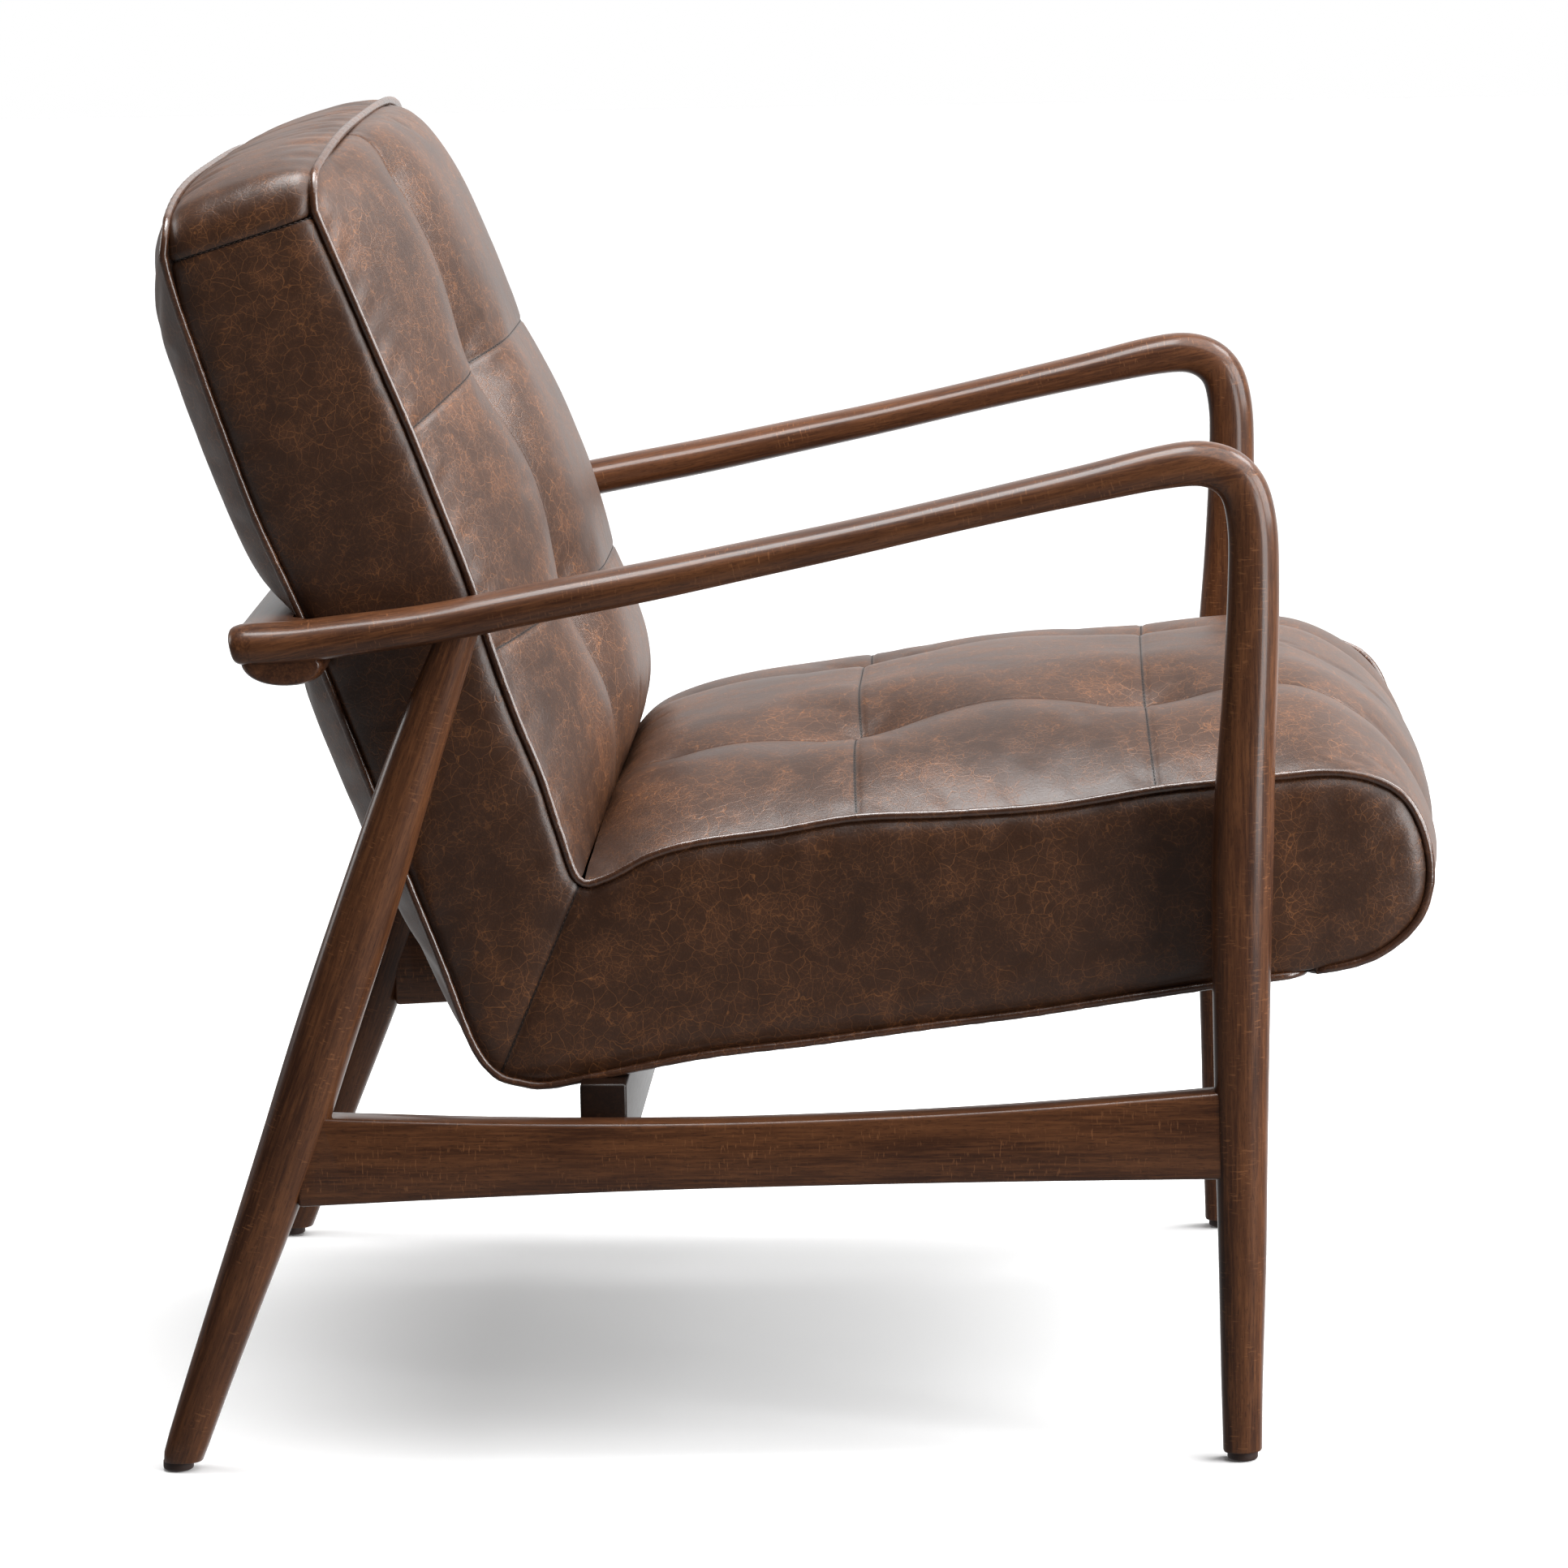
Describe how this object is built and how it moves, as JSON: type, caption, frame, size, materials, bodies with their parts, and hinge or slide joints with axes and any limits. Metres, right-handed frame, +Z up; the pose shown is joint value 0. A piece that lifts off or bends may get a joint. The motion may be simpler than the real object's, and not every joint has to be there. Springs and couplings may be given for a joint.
{
  "type": "upholstered armchair",
  "caption": "Easy chair with a bent wooden arm and leg frame and one L-shaped leather seat and back shell, stitched and tufted, with piped edges.",
  "frame": {"origin": "on the floor, at the middle of the overall width and depth", "axes": "+Z up, the chair faces -Y, the sitter's right side is at -X"},
  "size_m": [0.7042, 0.8016, 0.8217],
  "materials": {
    "wood": "walnut-stained beech, satin lacquer",
    "leather": "waxed pull-up leather, semi-gloss with creases and mottling",
    "piping": "waxed leather over cord, semi-gloss",
    "glide": "matte",
    "steel": "zinc plated",
    "frame_wood": "unfinished",
    "foam": "open cell foam",
    "webbing": "woven elastic",
    "lining": "plain dust cloth"
  },
  "bodies": {
    "root": {"arm_right": "wood", "front_leg_right": "wood", "rear_leg_right": "wood", "side_stretcher_right": "wood", "arm_joint_dowel_right": "frame_wood", "rear_leg_dowel_right": "frame_wood", "arm_end_screw_right": "steel", "back_rail_screw_right": "steel", "cross_rail_screw_right": "steel", "leg_bolt_right": "steel", "glide_front_right": "glide", "glide_nail_front_right": "steel", "glide_rear_right": "glide", "glide_nail_rear_right": "steel", "seat_side_board_right": "frame_wood", "back_side_board_right": "frame_wood", "side_boxing_right": "leather", "arm_left": "wood", "front_leg_left": "wood", "rear_leg_left": "wood", "side_stretcher_left": "wood", "arm_joint_dowel_left": "frame_wood", "rear_leg_dowel_left": "frame_wood", "arm_end_screw_left": "steel", "back_rail_screw_left": "steel", "cross_rail_screw_left": "steel", "leg_bolt_left": "steel", "glide_front_left": "glide", "glide_nail_front_left": "steel", "glide_rear_left": "glide", "glide_nail_rear_left": "steel", "seat_side_board_left": "frame_wood", "back_side_board_left": "frame_wood", "side_boxing_left": "leather", "back_rail": "wood", "cross_rail": "wood", "seat_front_board": "frame_wood", "heel_board": "frame_wood", "back_top_board": "frame_wood", "seat_foam": "foam", "back_foam": "foam", "back_cover": "leather", "seat_cover": "leather", "bottom_panel": "lining", "outer_back_panel": "leather", "top_boxing": "leather", "front_piping": "piping", "rear_piping": "piping", "seat_strap_1": "webbing", "back_strap_1": "webbing", "seat_strap_2": "webbing", "back_strap_2": "webbing", "seat_strap_3": "webbing", "back_strap_3": "webbing", "seat_strap_4": "webbing", "back_strap_4": "webbing"}
  },
  "joints": []
}
